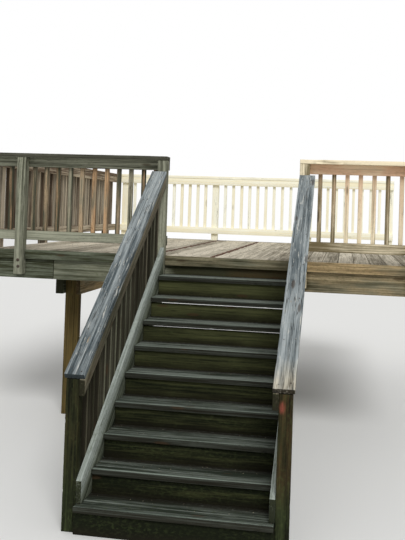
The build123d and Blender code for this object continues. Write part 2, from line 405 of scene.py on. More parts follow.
def raked(low, high, under, over, dice, upright=False, cuts=0, edge="eased_edge", **look):
    """A piece with plumb ends that follows the flight's pitch: a rail, or a baluster with its
    ends cut to the pitch."""
    piece = raked_block(low, high, under, over)
    ease_edges(edge)
    along, across = (UP, ACROSS) if upright else (RAKE, SQUARE)
    cut_across(along, cuts)
    leave_edit()
    mark_grain(piece, along, across, Vector((low.x, low.y, nose_z(low.y) + under)), dice, **look)
    return piece


def clouds(name, scale, depth):
    field = bpy.data.textures.new(name, "CLOUDS")
    field.noise_scale = scale
    field.noise_depth = depth
    return field


def press(piece, field, strength, middle, **settings):
    """Moves a piece's points by a texture, for good."""
    push = piece.modifiers.new("relief", "DISPLACE")
    push.texture = field
    push.strength = strength
    push.mid_level = middle
    for key, value in settings.items():
        setattr(push, key, value)
    bpy.ops.object.modifier_apply(modifier=push.name)


def bow(piece, axis, share, pitch, inward=True):
    """Bends a piece's boards gently, each in its own way."""
    only(piece)
    strength = bpy.context.scene.deck_stairs_lumber.waviness * share
    field = clouds(f"{piece.name}_bow", pitch, 1)
    press(piece, field, strength, 1.0 if inward else 0.5, texture_coords="LOCAL", direction=axis)


def cut_fine(piece, directions, pitch):
    """Divides a board's faces evenly, along each direction, for relief that is real."""
    only(piece)
    most = 99
    for direction in directions:
        start_edit("EDGE")
        along = runs(direction)
        spans = [edge.calc_length() for edge in bmesh.from_edit_mesh(piece.data).edges if along(edge)]
        if spans:
            pick("edges", along)
            bpy.ops.mesh.subdivide(number_cuts=max(1, min(most, round(max(spans) / pitch))))
        leave_edit()


def roughen(piece, splits, width=0.05, grain=1.0):
    """Raises the grain of a finely divided board and opens long splits in it, as shares of the
    sizes that the user sets. All of it goes into the wood, so that the board keeps its size."""
    only(piece)
    lumber = bpy.context.scene.deck_stairs_lumber
    mesh = piece.data
    places = [value.vector for value in mesh.attributes["grain"].data]
    stretch = 0.08
    relief = []
    for loop in mesh.loops:
        place = places[loop.vertex_index]
        relief.extend((place.x * stretch, place.y + place.z))
    mesh.uv_layers.new(name="relief").data.foreach_set("uv", relief)
    skin = clouds(f"{piece.name}_skin", 0.014, 3)
    cracks = clouds(f"{piece.name}_splits", 0.075, 0)
    cracks.noise_type = "HARD_NOISE"
    cracks.use_color_ramp = True
    first, last = cracks.color_ramp.elements
    first.color = (0, 0, 0, 1)
    last.color = (1, 1, 1, 1)
    last.position = width
    for field, depth in ((skin, lumber.raised_grain * grain), (cracks, lumber.split_depth * splits)):
        if depth:
            press(piece, field, depth, 1.0, texture_coords="UV", uv_layer="relief", direction="NORMAL")
    piece.data.uv_layers.remove(piece.data.uv_layers["relief"])


def scatter(template, places, name, finish):
    """Copies a small piece to each (place, turn) and joins the copies to one piece."""
    copies = []
    for place, turn in places:
        copy = template.copy()
        copy.data = template.data.copy()
        copy.data.transform(Matrix.Translation(place) @ turn)
        bpy.context.collection.objects.link(copy)
        copies.append(copy)
    bpy.data.objects.remove(template)
    return finish_piece(copies, name, finish)


def nail(sizes):
    """A flat nail head with a raised middle, its face up, a little sunk in the wood."""
    deselect()
    depth, upper, rim = sizes.nail_proud * 3, sizes.nail_head * 0.42, sizes.nail_head * 0.14
    bpy.ops.mesh.primitive_cone_add(
        vertices=10, radius1=sizes.nail_head / 2, radius2=upper, depth=depth,
        location=(0, 0, sizes.nail_proud - depth / 2))
    apply_place()
    start_edit("FACE")
    pick("faces", top_face)
    bpy.ops.mesh.inset(thickness=rim)
    lift(sizes.nail_proud * 0.3)
    return leave_edit()


def bolt(sizes):
    """A domed bolt head on its washer, its top up."""
    deselect()
    washer, buried = 0.006, -0.0022
    rim, rounded = 0.0012, 0.0006
    dome = (0.0014, 0.0010, 0.0006)
    bpy.ops.mesh.primitive_cylinder_add(
        vertices=20, radius=sizes.bolt_washer / 2, depth=washer, location=(0, 0, buried))
    start_edit("FACE")
    pick("faces", top_face)
    bpy.ops.mesh.inset(thickness=rim)
    lift(rounded)
    bpy.ops.mesh.inset(thickness=(sizes.bolt_washer - sizes.bolt_head) / 2 - rim)
    bpy.ops.mesh.extrude_region_move(TRANSFORM_OT_translate={"value": (0, 0, dome[0])})
    for step in dome:
        bpy.ops.mesh.inset(thickness=sizes.bolt_head * 0.13)
        lift(step)
    return leave_edit()


def crumb(width, height):
    """A flat, uneven lump."""
    deselect()
    bpy.ops.mesh.primitive_ico_sphere_add(subdivisions=1, radius=width / 2)
    start_edit()
    bpy.ops.mesh.select_all(action="SELECT")
    bpy.ops.transform.vertex_random(offset=width * 0.12, seed=7)
    bpy.ops.transform.resize(value=(1, 1, height / width))
    return leave_edit()


def sunk(places, depth):
    """The same places, this far into the wood, whose relief goes inwards."""
    return [(place - turn.to_3x3() @ Vector((0, 0, depth)), turn) for place, turn in places]


def facing(normal):
    """The turn that points a small piece's own Z along normal."""
    return Vector(normal).to_track_quat("Z", "Y").to_matrix().to_4x4()


def finish_piece(boards, name, finish, nodes=()):
    """Joins boards to one piece, gives it its finish and lets it ride on the model."""
    deselect()
    for board in boards:
        board.select_set(True)
    bpy.context.view_layer.objects.active = boards[0]
    if len(boards) > 1:
        bpy.ops.object.join()
    piece = bpy.context.object
    piece.name = name
    piece.data.name = name
    piece.data.materials.clear()
    piece.data.materials.append(finish)
    bpy.ops.object.shade_smooth_by_angle(angle=math.radians(40))
    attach(piece, "root")
    if nodes:
        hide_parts(*nodes)
    return piece


# Finishes

def linear(value):
    return value / 12.92 if value <= 0.04045 else ((value + 0.055) / 1.055) ** 2.4


def paint(shade):
    return tuple(linear(value) for value in shade) + (1.0,)


# Patterns in the wood: how often each repeats in a metre along, across and through the grain,
# then its noise's detail, roughness and distortion
PATTERNS = {
    "fibre": ((6, 260, 260), 4, 0.7, 0.0),
    "streak": ((1.3, 70, 70), 4, 0.6, 0.3),
    "band": ((0.7, 20, 20), 3, 0.55, 0.9),
    "cloud": ((2.0, 8, 8), 5, 0.62, 0.0),
    "split": ((1.1, 48, 48), 2, 0.5, 0.0),
    "speck": ((34, 55, 55), 3, 0.6, 0.0),
    "skin": ((5, 62, 62), 4, 0.7, 0.3),
    "chip": ((7, 34, 34), 3, 0.6, 0.0),
}


class Recipe:
    """Lays out the nodes of one material."""

    def __init__(self, name):
        self.material = bpy.data.materials.new(name)
        self.material.use_nodes = True
        self.tree = self.material.node_tree
        self.shader = self.tree.nodes["Principled BSDF"]
        self.count = 0

    def fill(self, node, inputs):
        """Sets each of a node's inputs, or links it to another node's output."""
        for key, value in inputs.items():
            if isinstance(value, bpy.types.NodeSocket):
                self.tree.links.new(value, node.inputs[key])
            else:
                node.inputs[key].default_value = value

    def add(self, kind, output, inputs, **settings):
        """Adds a node and returns one of its outputs."""
        node = self.tree.nodes.new(kind)
        self.count += 1
        node.location = (-220 * (1 + self.count // 5), 260 - 190 * (self.count % 5))
        for key, value in settings.items():
            setattr(node, key, value)
        self.fill(node, inputs)
        return node.outputs[output]

    def attribute(self, name, output="Fac"):
        return self.add("ShaderNodeAttribute", output, {}, attribute_name=name, attribute_type="GEOMETRY")

    def stretched(self, place, scale):
        return self.add("ShaderNodeMapping", "Vector", {"Vector": place, "Scale": scale})

    def noise(self, place, scale, detail, roughness, distortion=0.0):
        inputs = {"Vector": self.stretched(place, scale), "Scale": 1.0, "Detail": detail,
                  "Roughness": roughness, "Distortion": distortion}
        return self.add("ShaderNodeTexNoise", "Fac", inputs)

    def pattern(self, place, name):
        return self.noise(place, *PATTERNS[name])

    def ramp(self, value, low, high, to_low=0.0, to_high=1.0):
        inputs = {"Value": value, "From Min": low, "From Max": high, "To Min": to_low, "To Max": to_high}
        return self.add("ShaderNodeMapRange", "Result", inputs, interpolation_type="SMOOTHSTEP")

    def sum(self, operation, *values):
        return self.add("ShaderNodeMath", "Value", dict(enumerate(values)), operation=operation)

    def plus(self, *values):
        return self.sum("ADD", *values)

    def minus(self, *values):
        return self.sum("SUBTRACT", *values)

    def times(self, *values):
        return self.sum("MULTIPLY", *values)

    def centred(self, value, weight):
        """What value adds on either side of nothing."""
        return self.times(self.minus(value, 0.5), weight)

    def mix(self, factor, first, second):
        return self.add("ShaderNodeMix", 2, {0: factor, 6: first, 7: second}, data_type="RGBA")

    def finish(self, base, roughness, height, strength, distance):
        """Gives the shader its colour, roughness and bump."""
        inputs = {"Strength": strength, "Distance": distance, "Height": height}
        bump = self.add("ShaderNodeBump", "Normal", inputs)
        self.fill(self.shader, {"Base Color": base, "Roughness": roughness, "Normal": bump})
        return self.material


def weathered(name, pale, dark, warm=None, cracks=0.5, moss=0.15, dirt=None, relief=0.35, spread=0.5,
              flakes=(), painted_shade_face=None, bleach_and_highlight_edge=None, knots=0.6, contrast=1.0, stain=None):
    """Bare lumber after years outdoors. warm holds the (pale, dark) of boards that kept some of
    their brown, dirt is the (clean, dirty) place across the board of a dark band that is partly dirt
    and partly painted shade where treads meet risers, flakes holds the (pattern, start, end,
    strength, colour) of each peeling layer, film is the (axis, strength) of painted shade on the face
    where that part of the grain's place is zero, and bleach_and_highlight_edge is the (start, end, colour) of
    an edge made lighter partly by bleaching and partly by a painted highlight."""
    hues = bpy.context.scene.deck_stairs_finishes
    dirt_and_shade = paint(hues.dirt_and_shade)
    wood = Recipe(name)
    place = wood.attribute("grain", "Vector")
    end = wood.attribute("end")
    fibre, streak, band, cloud, split, speck = (
        wood.pattern(place, key) for key in ("fibre", "streak", "band", "cloud", "split", "speck"))
    across = wood.add("ShaderNodeSeparateXYZ", "Y", {0: place})

    level = 0.5
    parts = ((fibre, 1.3), (streak, 2.0 * contrast), (band, 1.5 * contrast), (cloud, 1.4 * contrast),
             (wood.attribute("tone"), spread))
    for source, weight in parts:
        level = wood.plus(level, wood.centred(source, weight))
    level = wood.minus(level, wood.times(end, 0.8))
    level = wood.sum("MAXIMUM", wood.sum("MINIMUM", level, 1.0), 0.0)
    base = wood.mix(level, paint(dark), paint(pale))
    if warm:
        heat = wood.times(wood.attribute("warm"), wood.ramp(cloud, 0.36, 0.56, 0.45, 1.0))
        base = wood.mix(heat, base, wood.mix(level, paint(warm[1]), paint(warm[0])))
    # Lighter edge: partly bleaching, partly a painted highlight where light falls on the treads' noses and
    # the stringers' upper edges.
    if bleach_and_highlight_edge:
        first, last, hue = bleach_and_highlight_edge
        worn = wood.plus(across, wood.centred(cloud, 0.12))
        bleached_and_lit = wood.times(wood.ramp(worn, first, last), wood.ramp(streak, 0.3, 0.6, 0.35, 0.9))
        base = wood.mix(wood.times(bleached_and_lit, wood.minus(1.0, end)), base, paint(hue))
    for key, first, last, strength, hue in flakes:
        shown = wood.ramp(wood.pattern(place, key), first, last, 0.0, strength)
        base = wood.mix(wood.times(shown, wood.minus(1.0, end)), base, paint(hue))
    growth = wood.times(wood.ramp(speck, 0.45, 0.68), wood.ramp(cloud, 0.4, 0.62, 0.25, 1.0))
    base = wood.mix(wood.times(growth, moss), base, paint(hues.moss))
    # Dark band across the board: partly dirt, partly painted shade in the corner where a tread meets a riser.
    if dirt:
        edge = wood.plus(across, wood.centred(cloud, 0.09))
        base = wood.mix(wood.times(wood.ramp(edge, *dirt), wood.ramp(speck, 0.2, 0.6, 0.6, 0.95)), base, dirt_and_shade)
    # Painted shade: one face of each board is darkened, so that balusters, rails and the treads' front faces
    # look like shaded sides.
    if painted_shade_face:
        axis, strength = painted_shade_face
        depth = wood.sum("ABSOLUTE", wood.add("ShaderNodeSeparateXYZ", axis, {0: place}))
        front = wood.times(wood.ramp(depth, 0.0040, 0.0012), wood.ramp(streak, 0.25, 0.7, 1.0, 0.84))
        base = wood.mix(wood.times(front, strength), base, dirt_and_shade)
    if stain:
        mark = wood.times(wood.attribute("stain"), wood.ramp(fibre, 0.42, 0.56, 0.1, 1.0))
        base = wood.mix(mark, base, paint(stain))
    base = wood.mix(wood.times(end, 0.4), base, dirt_and_shade)
    eyes = wood.add("ShaderNodeTexVoronoi", "Distance",
                    {"Scale": 1.0, "Vector": wood.stretched(place, (1.9, 7.5, 7.5))}, feature="F1")
    base = wood.mix(wood.times(wood.ramp(eyes, 0.13, 0.07), knots), base, paint(hues.knot))
    beside = wood.sum("ABSOLUTE", wood.minus(split, 0.5))
    open_places = wood.ramp(cloud, 0.62 - 0.3 * cracks, 0.7 - 0.2 * cracks)
    crack = wood.times(wood.ramp(beside, 0.014, 0.0), open_places)
    base = wood.mix(wood.times(crack, 0.85), base, dirt_and_shade)
    height = wood.plus(wood.times(fibre, 0.5), wood.times(streak, 0.7))
    height = wood.minus(height, wood.times(crack, 1.4))
    wood.fill(wood.shader, {"Specular IOR Level": 0.1})
    return wood.finish(base, wood.ramp(fibre, 0.2, 0.8, 0.92, 0.72), height, relief, 0.003)


def dull_metal(name, shade):
    """Grey metal with spots of rust."""
    metal = Recipe(name)
    spots = metal.noise(metal.add("ShaderNodeTexCoord", "Object", {}), (160, 160, 160), 4, 0.6)
    rust = paint(bpy.context.scene.deck_stairs_finishes.rust)
    base = metal.mix(metal.ramp(spots, 0.45, 0.6), paint(shade), rust)
    metal.fill(metal.shader, {"Metallic": 0.7})
    return metal.finish(base, metal.ramp(spots, 0.4, 0.65, 0.45, 0.9), spots, 0.2, 0.0005)


def packed_dirt(name, shade):
    """Crumbly dirt."""
    dirt = Recipe(name)
    spots = dirt.noise(dirt.add("ShaderNodeTexCoord", "Object", {}), (90, 90, 90), 4, 0.7)
    dirt_and_shade = paint(bpy.context.scene.deck_stairs_finishes.dirt_and_shade)
    base = dirt.mix(dirt.ramp(spots, 0.35, 0.65), dirt_and_shade, paint(shade))
    return dirt.finish(base, 0.95, spots, 0.5, 0.001)


def finish_for(slot):
    """The finish of one of the record's material slots: the family of its colours, and how far
    the wood has weathered."""
    name = f"{slot}_weathered"
    found = bpy.data.materials.get(name)
    if found:
        return found
    hues = bpy.context.scene.deck_stairs_finishes
    looks = {
        # Treads: the front face gets painted shade, the front of the top is lighter from bleaching and a
        # painted highlight, and the back carries a dark band of dirt and painted shade.
        "step_wood": ("step", dict(cracks=0.6, moss=0.35, dirt=(0.16, 0.25), spread=0.9, contrast=1.5,
                                   bleach_and_highlight_edge=(0.045, -0.01, hues.step_bleach_and_highlight), painted_shade_face=("Y", 1.0))),
        # Risers: darker towards the bottom, partly dirt and partly painted shade where the riser meets the
        # tread below.
        "riser_wood": ("riser", dict(cracks=0.4, moss=0.3, dirt=(0.085, -0.01), spread=0.9, contrast=0.6)),
        # Stringers: upper edge lighter, partly bleaching and partly a painted highlight.
        "stringer_wood": ("stringer", dict(moss=0.4, contrast=1.8,
                                           bleach_and_highlight_edge=(0.13, 0.27, hues.stringer_bleach_and_highlight))),
        "stair_cap_wood": ("cap", dict(warm=(hues.cap_worn, hues.cap_rot), cracks=0.9, moss=0.1, relief=0.6,
                                       contrast=1.2, flakes=(("skin", 0.57, 0.66, 0.7, hues.cap_flake),
                                                             ("chip", 0.66, 0.72, 0.6, hues.cap_tan)))),
        # Stair guards: one face of each rail and baluster darkened, painted shade.
        "stair_guard_wood": ("rail", dict(warm=(hues.rail_warm, hues.rail_dark), moss=0.35, spread=0.9,
                                          painted_shade_face=("Z", 0.95))),
        "newel_wood": ("newel", dict(warm=(hues.newel_brown, hues.newel_dark), cracks=0.8, moss=0.4,
                                     contrast=1.3, stain=hues.newel_red)),
        "deck_wood": ("deck", dict(moss=0.1, spread=0.8)),
        "frame_wood": ("frame", dict(warm=(hues.frame_warm, hues.frame_brown), cracks=0.6, moss=0.35,
                                     spread=0.8)),
        "post_wood": ("post", dict(cracks=0.7, moss=0.4)),
        # Left front guard: one side of each baluster darkened, painted shade.
        "left_guard_wood": ("left", dict(warm=(hues.left_warm, hues.left_dark), cracks=0.6, moss=0.25,
                                         spread=1.2, contrast=1.5, painted_shade_face=("Y", 0.9))),
        # Side guard: one face of each baluster and rail darkened, painted shade.
        "side_guard_wood": ("side", dict(cracks=0.4, moss=0.1, spread=1.9, contrast=1.6, painted_shade_face=("Z", 0.6))),
        "back_guard_wood": ("back", dict(cracks=0.3, moss=0.03, spread=0.6, knots=0.3)),
        "right_guard_wood": ("right", dict(warm=(hues.right_warm, hues.right_dark), spread=1.5,
                                           contrast=1.3)),
    }
    family, look = looks[slot]
    return weathered(name, getattr(hues, f"{family}_pale"), getattr(hues, f"{family}_dark"), **look)


def dress(node, boards):
    """Puts finished boards in a CAD node's place, with the slot that the record gives the node."""
    slot = next(part["material_slot"] for part in frame["record"]["subparts"] if part["node"] == node)
    return finish_piece(boards, f"{node}_lumber", finish_for(slot), [node])


# Pieces, one operator for each group

class DECKSTAIRS_OT_treads(bpy.types.Operator):
    """Nine treads with worn noses"""
    bl_idname = "deckstairs.treads"
    bl_label = "Treads"

    def execute(self, context):
        lumber = context.scene.deck_stairs_lumber
        shortest = 0.1
        for number, node, low, high in each("tread", TREADS):
            piece = block(low, high)
            ease_edges()
            front, upper = low.y + lumber.eased_edge, high.z - 0.01

            def trodden(edge):
                a, b = (point.co for point in edge.verts)
                return max(a.y, b.y) <= front and min(a.z, b.z) > upper and abs(a.x - b.x) > shortest

            pick("edges", trodden)
            bpy.ops.mesh.bevel(offset=lumber.worn_nose, segments=2, affect="EDGES")
            leave_edit()
            cut_fine(piece, (ACROSS, AHEAD), pitch=0.0125)
            # Tone grows with the tread's number: lower treads darker, upper treads lighter, painted shade and
            # light.
            mark_grain(piece, ACROSS, AHEAD, low, random.Random(node), tone=number / len(TREADS))
            piece = dress(node, [piece])
            bow(piece, "Z", share=0.6, pitch=0.5)
            roughen(piece, splits=0.6)
            hold_inside(piece, low, high)
        return {"FINISHED"}


class DECKSTAIRS_OT_risers(bpy.types.Operator):
    """Risers, lighter towards the deck with painted light, and the bottom step's front board, darkened with
    painted shade
    """
    bl_idname = "deckstairs.risers"
    bl_label = "Risers"

    def execute(self, context):
        # Painted light and shade: each riser's tone rises with its height, lighter towards the deck where
        # light falls; the bottom step's front board starts far darker.
        for node, lowest, painted_light_rise in (("risers", -0.15, 0.9), ("bottom_step_front", -0.7, 0.0)):
            low, high = span(node)
            dice = random.Random(node)
            boards = []
            for box in solids(node):
                tone = lowest + painted_light_rise * (box[0].z - low.z) / (high.z - low.z)
                boards.append(plank(*box, "x upright", dice, cuts=23, tone=tone))
            bow(dress(node, boards), "Y", share=0.4, pitch=0.4)
        return {"FINISHED"}


class DECKSTAIRS_OT_stringers(bpy.types.Operator):
    """Closed stringers, the bottom step's sides and the cleats under the treads"""
    bl_idname = "deckstairs.stringers"
    bl_label = "Stringers"

    def execute(self, context):
        for word, node, low, high in each("stringer", SIDES):
            dice = random.Random(node)
            under, over = (z - nose_z(high.y) for z in heights_at(node, high.y))
            piece = raked_block(low, high, under, over)
            trim(low, UP, clear_inner=True)
            ease_edges()
            leave_edit()
            cut_fine(piece, (RAKE,), pitch=0.03)
            cut_fine(piece, (UP, ACROSS), pitch=0.012)
            mark_grain(piece, RAKE, SQUARE, Vector((low.x, low.y, nose_z(low.y) + under)), dice)
            roughen(dress(node, [piece]), splits=0.4, width=0.04)
            node = f"tread_cleats_{word}"
            dress(node, planks(node, "y", dice, edge="baluster_edge"))
        node = "bottom_step_sides"
        dice = random.Random(node)
        tread_low, tread_high = span("tread_1")
        boards = []
        for low, high in solids(node):
            boards.append(plank(low, (high.x, high.y, tread_low.z), "y upright", dice))
            boards.append(plank((low.x, tread_high.y, tread_low.z), high, "y upright", dice))
        dress(node, boards)
        return {"FINISHED"}


class DECKSTAIRS_OT_newels(bpy.types.Operator):
    """The two bottom posts, their heads cut to the pitch"""
    bl_idname = "deckstairs.newels"
    bl_label = "Bottom posts"

    def execute(self, context):
        for word, node, low, high in each("newel", SIDES):
            front_top = heights_at(node, low.y)[1]
            piece = block(low, (high.x, high.y, front_top))
            behind, above = low.y + 0.01, low.z + 0.01
            pick("verts", lambda point: point.co.y > behind and point.co.z > above)
            lift(high.z - front_top)
            ease_edges("post_edge")
            leave_edit()
            cut_fine(piece, (UP, ACROSS, AHEAD), pitch=0.007)
            brownness = 0.95 if word == "right" else 0.5
            damp, fade = low.z + 0.25, 0.25
            mark_grain(piece, UP, ACROSS, low, random.Random(node), tone=0.5,
                       warm=lambda place: brownness * min(1.0, max(0.0, (place.z - damp) / fade)))
            if word == "right":
                middle = Vector((low.x + 0.024, low.y, high.z - 0.14))
                half_width, half_height, deepest = 0.019, 0.037, 0.02

                def stained(place):
                    away = place - middle
                    reach = math.hypot(away.x / half_width, away.z / half_height)
                    return min(1.0, max(0.0, 1.6 - 1.2 * reach)) if away.y < deepest else 0.0

                note(piece, "stain", stained)
            roughen(dress(node, [piece]), splits=0.8)
        return {"FINISHED"}


class DECKSTAIRS_OT_stair_panels(bpy.types.Operator):
    """The sloped rails with their balusters"""
    bl_idname = "deckstairs.stair_panels"
    bl_label = "Stair guards"

    def execute(self, context):
        lumber = context.scene.deck_stairs_lumber
        for word, node, low, high in each("stair_panel", SIDES):
            dice = random.Random(node)
            places = corners(node)
            under, over = (z - nose_z(low.y) for z in heights_at(node, low.y))
            outer, lap, inner = sorted({x for x, y, z in places}, reverse=word == "right")
            rail, stick = sorted((lap, inner)), sorted((outer, lap))

            def board(xs, y0, y1, foot, **look):
                return raked(Vector((xs[0], y0, 0)), Vector((xs[1], y1, 0)), foot, over, dice, **look)

            boards = [board(rail, low.y, high.y, under, cuts=24, tone=0.6, warm=0.9)]
            feet = [(y, z) for x, y, z in places if x == outer and z < nose_z(y) + under]
            foot = min(z - nose_z(y) for y, z in feet)
            for y0, y1 in pairs([y for y, z in feet]):
                play = dice.uniform(-1, 1) * lumber.baluster_play
                boards.append(board(stick, y0 + play, y1 + play, foot, upright=True, cuts=7,
                                    warm=dice.choice((0.0, 0.2, 0.6)), edge="baluster_edge"))
            dress(node, boards)
        return {"FINISHED"}


class DECKSTAIRS_OT_stair_caps(bpy.types.Operator):
    """The sloped caps, cracked and flaking"""
    bl_idname = "deckstairs.stair_caps"
    bl_label = "Stair caps"

    def execute(self, context):
        looks = {"left": (0.0, 0.75, 0.0), "right": (0.7, 0.7, 0.95)}
        spare, worn_reach = 0.06, 0.17
        for word, node, low, high in each("stair_cap", SIDES):
            low_tone, high_tone, wear = looks[word]
            foot, head = heights_at(node, high.y)
            wide, deep, thick = high.x - low.x, high.y - low.y, (head - foot) * math.cos(TILT)
            nose_top = Vector((low.x, low.y, heights_at(node, low.y)[1]))
            reach = deep / math.cos(TILT) + spare
            deselect()
            middle = nose_top + RAKE * reach / 2 - SQUARE * thick / 2 + ACROSS * wide / 2
            bpy.ops.mesh.primitive_cube_add(
                size=1, location=middle, rotation=(TILT, 0, 0), scale=(wide, reach, thick))
            apply_place()
            start_edit()
            trim(high, AHEAD, clear_outer=True)
            ease_edges()
            piece = leave_edit()
            cut_fine(piece, (RAKE, RAKE, ACROSS), pitch=0.0042)
            mark_grain(piece, RAKE, ACROSS, nose_top, random.Random(node),
                       tone=lambda place: low_tone + (high_tone - low_tone) * (place.y - low.y) / deep,
                       warm=lambda place: wear * min(1.0, max(0.0, 1.4 - (place.y - low.y) / worn_reach)))
            roughen(dress(node, [piece]), splits=1.0, width=0.08, grain=1.3)
        return {"FINISHED"}


class DECKSTAIRS_OT_deck_boards(bpy.types.Operator):
    """The deck boards, each a little bowed"""
    bl_idname = "deckstairs.deck_boards"
    bl_label = "Deck boards"

    def execute(self, context):
        boards = planks("deck_boards", "y", random.Random("deck boards"))
        for board in boards:
            cut_fine(board, (AHEAD,), pitch=0.05)
            cut_fine(board, (ACROSS,), pitch=0.02)
        piece = dress("deck_boards", boards)
        bow(piece, "Z", share=0.7, pitch=0.35)
        roughen(piece, splits=0, grain=0.8)
        return {"FINISHED"}


class DECKSTAIRS_OT_edges(bpy.types.Operator):
    """Edge strips and rim boards round the deck"""
    bl_idname = "deckstairs.edges"
    bl_label = "Deck edges"

    def execute(self, context):
        half = (TREAD_HIGH.x - TREAD_LOW.x) / 2

        # Painted shade: the rim board behind the flight is darkened where the stairs shade it.
        def painted_shade_behind_flight(place):
            return -0.9 if abs(place.x - FLIGHT_MIDDLE) < half else 0.6

        def by_the_house(place):
            return 0.1 if place.x < FLIGHT_MIDDLE else 0.6

        looks = {"edge_strip_front": (dict(tone=0.1), dict(tone=0.15), dict(tone=0.35, warm=0.35),
                                      dict(tone=0.6, warm=0.9)),
                 "rim_front": (dict(tone=0.1), dict(tone=painted_shade_behind_flight, warm=by_the_house))}
        for node in ("edge_strip_front", "edge_strip_back", "rim_front", "rim_back", "rim_left"):
            dice = random.Random(node)
            way, axis = ("y upright", "X") if node == "rim_left" else ("x upright", "Y")
            known = looks.get(node, ())
            boards = []
            for i, box in enumerate(solids(node)):
                look = known[i] if i < len(known) else dict(warm=0.3)
                boards.append(plank(*box, way, dice, cuts=24, **look))
            bow(dress(node, boards), axis, share=0.3, pitch=0.4, inward=node != "edge_strip_front")
        return {"FINISHED"}


class DECKSTAIRS_OT_framing(bpy.types.Operator):
    """Ledger, joists, beam and support posts"""
    bl_idname = "deckstairs.framing"
    bl_label = "Framing"

    def execute(self, context):
        for node, way in (("ledger", "y upright"), ("joists", "x upright"), ("support_posts", "z")):
            dress(node, planks(node, way, random.Random(node), cuts=7))
        dice = random.Random("beam")
        rim_low, rim_high = span("rim_left")
        ply = rim_high.x - rim_low.x
        posts_left = span("support_posts")[0].x
        boards = []
        for low, high in solids("beam"):
            look = dict(tone=0.8, warm=1.0) if low.x > posts_left else dict(tone=0.1)
            for i in range(round((high.x - low.x) / ply)):
                left, right = (low.x + i * ply, low.y, low.z), (low.x + (i + 1) * ply, high.y, high.z)
                boards.append(plank(left, right, "y upright", dice, cuts=7, **look))
        dress("beam", boards)
        return {"FINISHED"}


class DECKSTAIRS_OT_guard_posts(bpy.types.Operator):
    """The guard posts round the deck"""
    bl_idname = "deckstairs.guard_posts"
    bl_label = "Guard posts"

    def execute(self, context):
        for word, node, low, high in each("guard_posts", GUARDS):
            tone = 0.65 if word == "front_left" else None
            pitch = 0.009 if word.startswith("front") else 0.018
            boards = planks(node, "z", random.Random(node), tone=tone, edge="post_edge")
            for board in boards:
                cut_fine(board, (UP, ACROSS, AHEAD), pitch)
            roughen(dress(node, boards), splits=0.6)
        return {"FINISHED"}


class DECKSTAIRS_OT_guard_panels(bpy.types.Operator):
    """The level guards: an upper and a bottom rail with balusters"""
    bl_idname = "deckstairs.guard_panels"
    bl_label = "Level guards"

    def execute(self, context):
        lumber = context.scene.deck_stairs_lumber
        rail_looks = {"front_right": (dict(tone=0.3), dict(tone=1.0, warm=0.85))}

        def browner_above(foot, head):
            return lambda place: max(0.0, (place.z - foot) / (head - foot)) ** 1.5

        for word, node, low, high in each("guard_panel", GUARDS):
            dice = random.Random(node)
            places = corners(node)
            beside = word == "side"
            run, deep = (1, 0) if beside else (0, 1)
            way = "y upright" if beside else "x upright"
            depths = sorted({place[deep] for place in places})
            stick, rail = (depths[:2], depths[-2:]) if beside else (depths[-2:], depths[:2])
            outer = stick[0] if beside else stick[1]
            heights = sorted({place[2] for place in places})

            def board(ends, depth, z0, z1, grain_way, **look):
                first, last = [0, 0, z0], [0, 0, z1]
                first[run], last[run] = ends
                first[deep], last[deep] = depth
                return plank(first, last, grain_way, dice, **look)

            starts = [place[run] for place in places]
            ends = (min(starts), max(starts))
            foot_look, top_look = rail_looks.get(word, ({}, {}))
            boards = [board(ends, rail, low.z, heights[1], way, cuts=14, **foot_look),
                      board(ends, rail, heights[-2], high.z, way, cuts=14, **top_look)]
            for a, b in pairs([place[run] for place in places if abs(place[deep] - outer) < SAME]):
                play = dice.uniform(-1, 1) * lumber.baluster_play
                heat = dice.choice((0.2, 0.6, 0.9, 1.0))
                warm = {"front_right": browner_above(low.z, high.z), "front_left": heat}.get(word, 0.0)
                boards.append(board((a + play, b + play), stick, low.z, high.z, "z", cuts=7, warm=warm,
                                    edge="baluster_edge"))
            dress(node, boards)
        return {"FINISHED"}


class DECKSTAIRS_OT_guard_caps(bpy.types.Operator):
    """The flat caps on the level guards"""
    bl_idname = "deckstairs.guard_caps"
    bl_label = "Guard caps"

    def execute(self, context):
        tones = {"front_left": 0.85, "front_right": 1.0}
        for word, node, low, high in each("guard_cap", GUARDS):
            way = "y" if word == "side" else "x"
            board = plank(low, high, way, random.Random(node), tone=tones.get(word))
            cut_fine(board, (ACROSS, AHEAD), pitch=0.012)
            piece = dress(node, [board])
            bow(piece, "Z", share=0.5, pitch=0.6)
            roughen(piece, splits=0.6)
        return {"FINISHED"}


